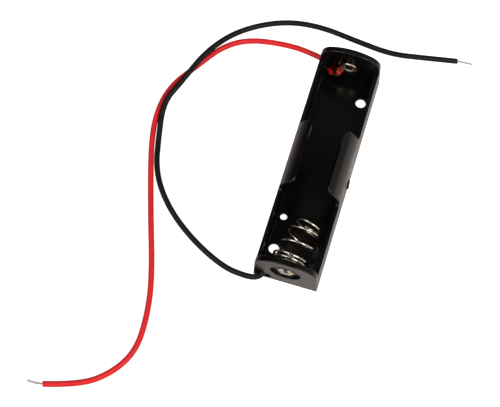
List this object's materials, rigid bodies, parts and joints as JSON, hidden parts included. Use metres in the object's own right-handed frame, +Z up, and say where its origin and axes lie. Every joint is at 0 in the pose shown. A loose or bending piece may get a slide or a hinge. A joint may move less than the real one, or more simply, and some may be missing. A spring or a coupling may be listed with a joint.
{
  "type": "cylindrical cell holder",
  "caption": "Open tray for one cylindrical cell: conical contact spring, riveted button contact, curved retaining arms and two stripped leads.",
  "frame": {"origin": "middle of the tray's underside, on the surface it rests on", "axes": "+X across the tray, +Y along it towards the positive end, +Z up out of the open tray"},
  "size_m": [0.0865, 0.1189, 0.015],
  "materials": {
    "tray_plastic": "satin black moulded plastic",
    "spring_wire": "nickel-plated spring wire",
    "rivet_metal": "nickel-plated tubular rivet",
    "terminal_brass": "stamped brass",
    "red_insulation": "smooth extruded insulation",
    "black_insulation": "smooth extruded insulation",
    "tinned_strands": "tinned twisted strands",
    "copper_strands": "bare copper strands"
  },
  "bodies": {
    "tray": {"tray": "tray_plastic", "spring_rivet": "rivet_metal", "positive_rivet": "rivet_metal", "spring_terminal": "terminal_brass", "positive_terminal": "terminal_brass", "red_lead": "red_insulation", "red_lead_tip": "tinned_strands", "red_lead_strands": "copper_strands", "black_lead": "black_insulation", "black_lead_tip": "tinned_strands", "black_lead_strands": "copper_strands"},
    "contact_spring": {"contact_spring": "spring_wire"}
  },
  "joints": [
    {"name": "spring_press", "type": "slide", "parent": "tray", "child": "contact_spring", "axis": [0, -1, 0], "range_m": [0, 0.007], "stiffness_N_per_m": 700, "deforming": ["contact_spring"]}
  ]
}
